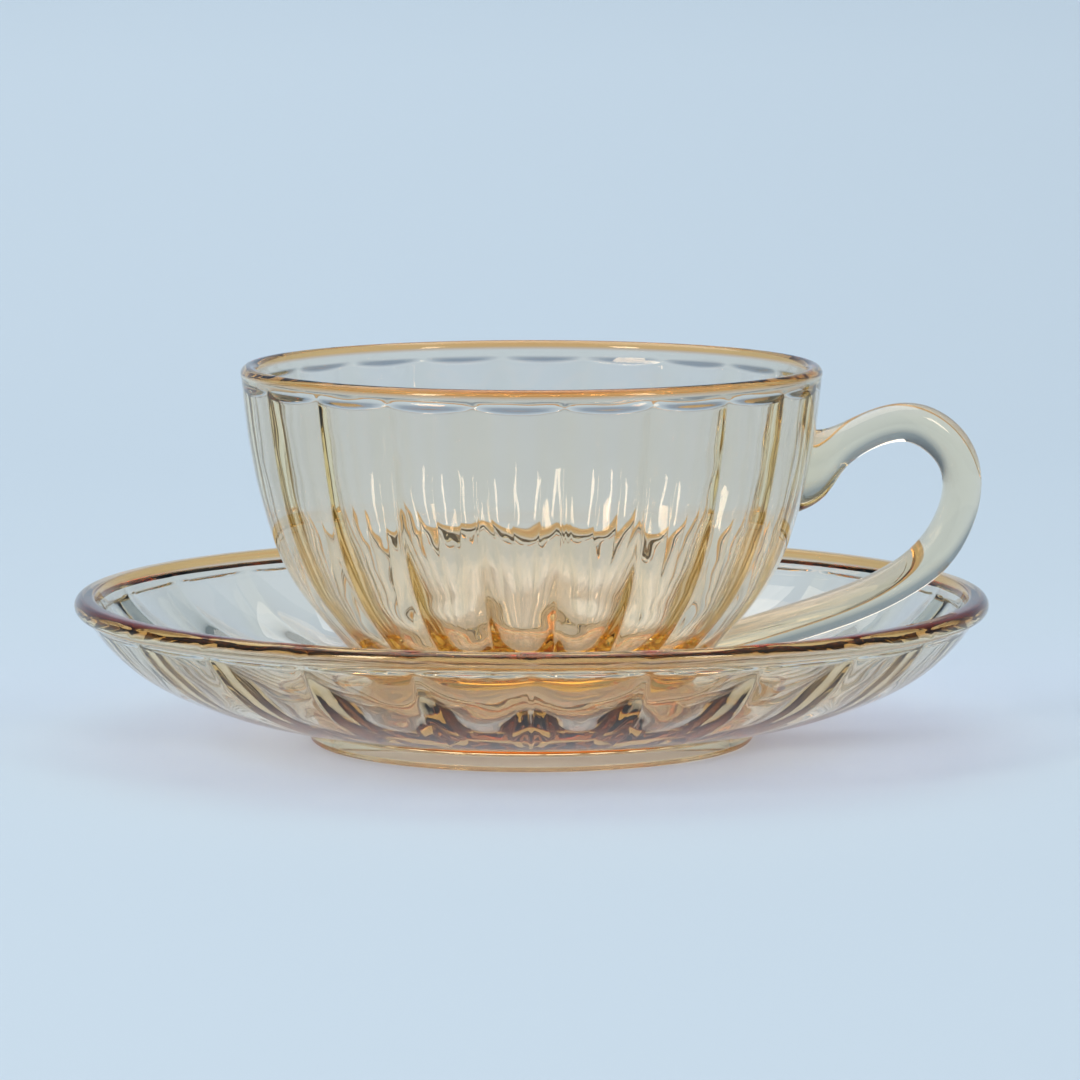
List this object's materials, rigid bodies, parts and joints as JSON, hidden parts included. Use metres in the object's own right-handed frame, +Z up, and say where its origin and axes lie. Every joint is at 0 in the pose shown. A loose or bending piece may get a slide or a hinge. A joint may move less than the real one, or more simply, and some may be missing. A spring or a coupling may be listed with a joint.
{
  "type": "glass espresso cup and saucer",
  "caption": "Empty pressed-glass espresso cup with a fluted inside and a rod handle, standing in its fluted saucer; pale amber glass.",
  "frame": {"origin": "centre of the saucer's foot ring, on the table that it stands on", "axes": "+Z up along the axis of the cup and saucer, +X towards the cup's handle"},
  "size_m": [0.1418, 0.1418, 0.0584],
  "materials": {
    "cup_glass": "clear pale amber glass with a fire-polished gloss and a faint pearly lustre",
    "saucer_glass": "clear pale amber glass with a fire-polished gloss and a faint pearly lustre"
  },
  "bodies": {
    "root": {"cup": "cup_glass", "saucer": "saucer_glass"}
  },
  "joints": []
}
